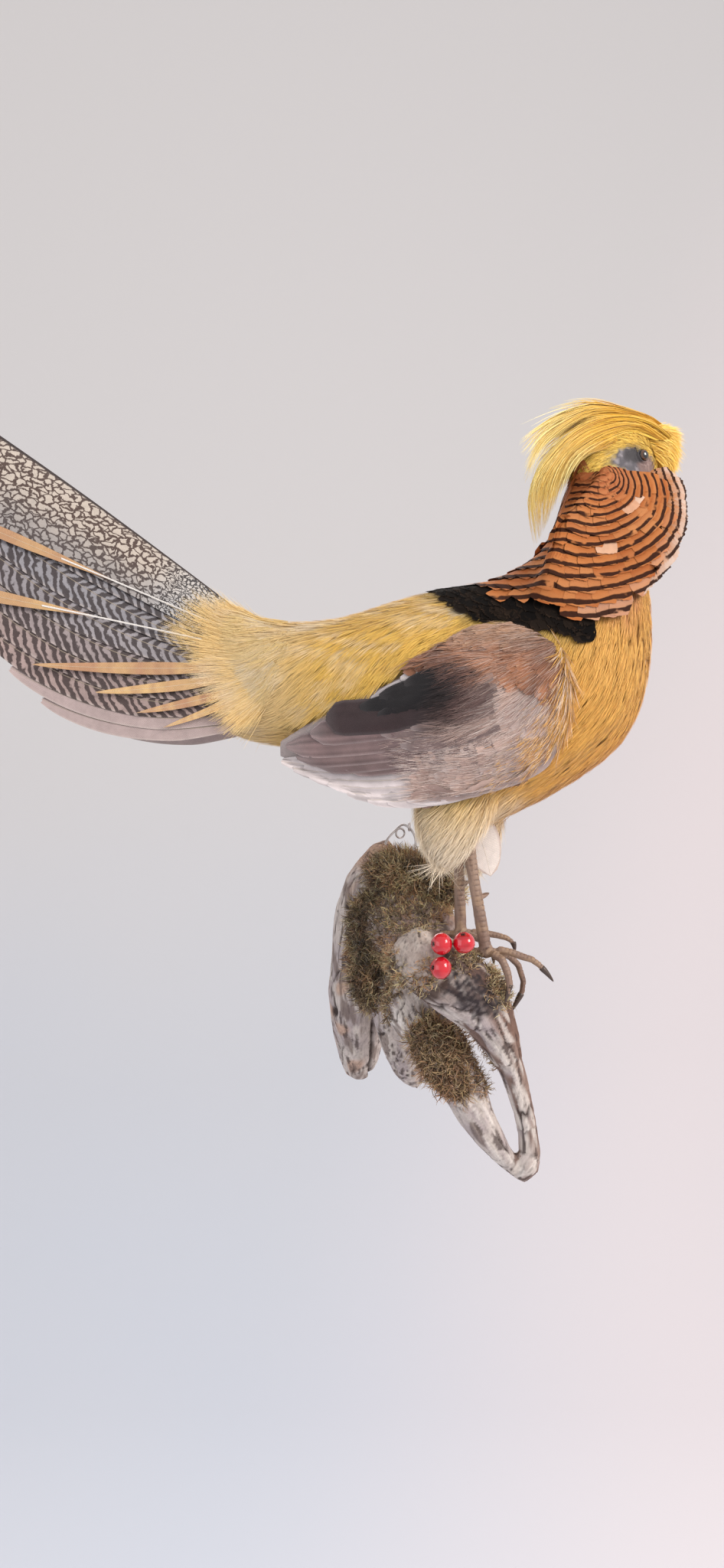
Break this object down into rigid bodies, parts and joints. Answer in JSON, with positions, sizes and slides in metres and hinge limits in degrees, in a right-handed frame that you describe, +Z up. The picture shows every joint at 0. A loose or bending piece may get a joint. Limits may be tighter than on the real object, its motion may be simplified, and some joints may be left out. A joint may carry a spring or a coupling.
{
  "type": "taxidermy pheasant",
  "caption": "Mounted yellow golden pheasant cock, life size, standing on a mossy piece of driftwood that hangs flat against a wall.",
  "frame": {"origin": "on the driftwood's flat back, where it lies against the wall, level with its middle", "axes": "+Y into the wall, +Z up, +X the way the bird faces"},
  "size_m": [0.8954, 0.2068, 0.6957],
  "materials": {
    "yellow": "lemon and amber body feathers, soft sheen",
    "tawny": "orange-tan cape feathers with dark bars",
    "gold": "silky golden crest",
    "wing": "taupe and brown wing feathers",
    "tail": "cream and dark brown patterned tail feathers",
    "leg": "dry scaled skin",
    "horn": "smooth horn",
    "eye": "dark glass eye",
    "wood": "weathered grey driftwood",
    "moss": "dry green moss",
    "berry": "glossy red berry",
    "wire": "thin steel wire"
  },
  "bodies": {
    "root": {"foot_right": "leg", "tarsus_right": "leg", "foot_left": "leg", "tarsus_left": "leg", "eye_right": "eye", "eye_left": "eye", "wing_right": "wing", "wing_left": "wing", "ruff_right": "tawny", "ruff_left": "tawny", "head": "yellow", "neck": "tawny", "trunk": "yellow", "rump": "yellow", "bill_upper": "horn", "bill_lower": "horn", "crest": "gold", "thigh_right": "yellow", "thigh_left": "yellow", "tail_middle": "tail", "tail_right": "tail", "tail_left": "tail", "wood_slab": "wood", "wood_core": "wood", "wood_limb": "wood", "wood_fork": "wood", "moss_crown": "moss", "moss_side": "moss", "moss_fork": "moss", "berry_1": "berry", "berry_2": "berry", "berry_3": "berry", "hanger": "wire"}
  },
  "joints": []
}
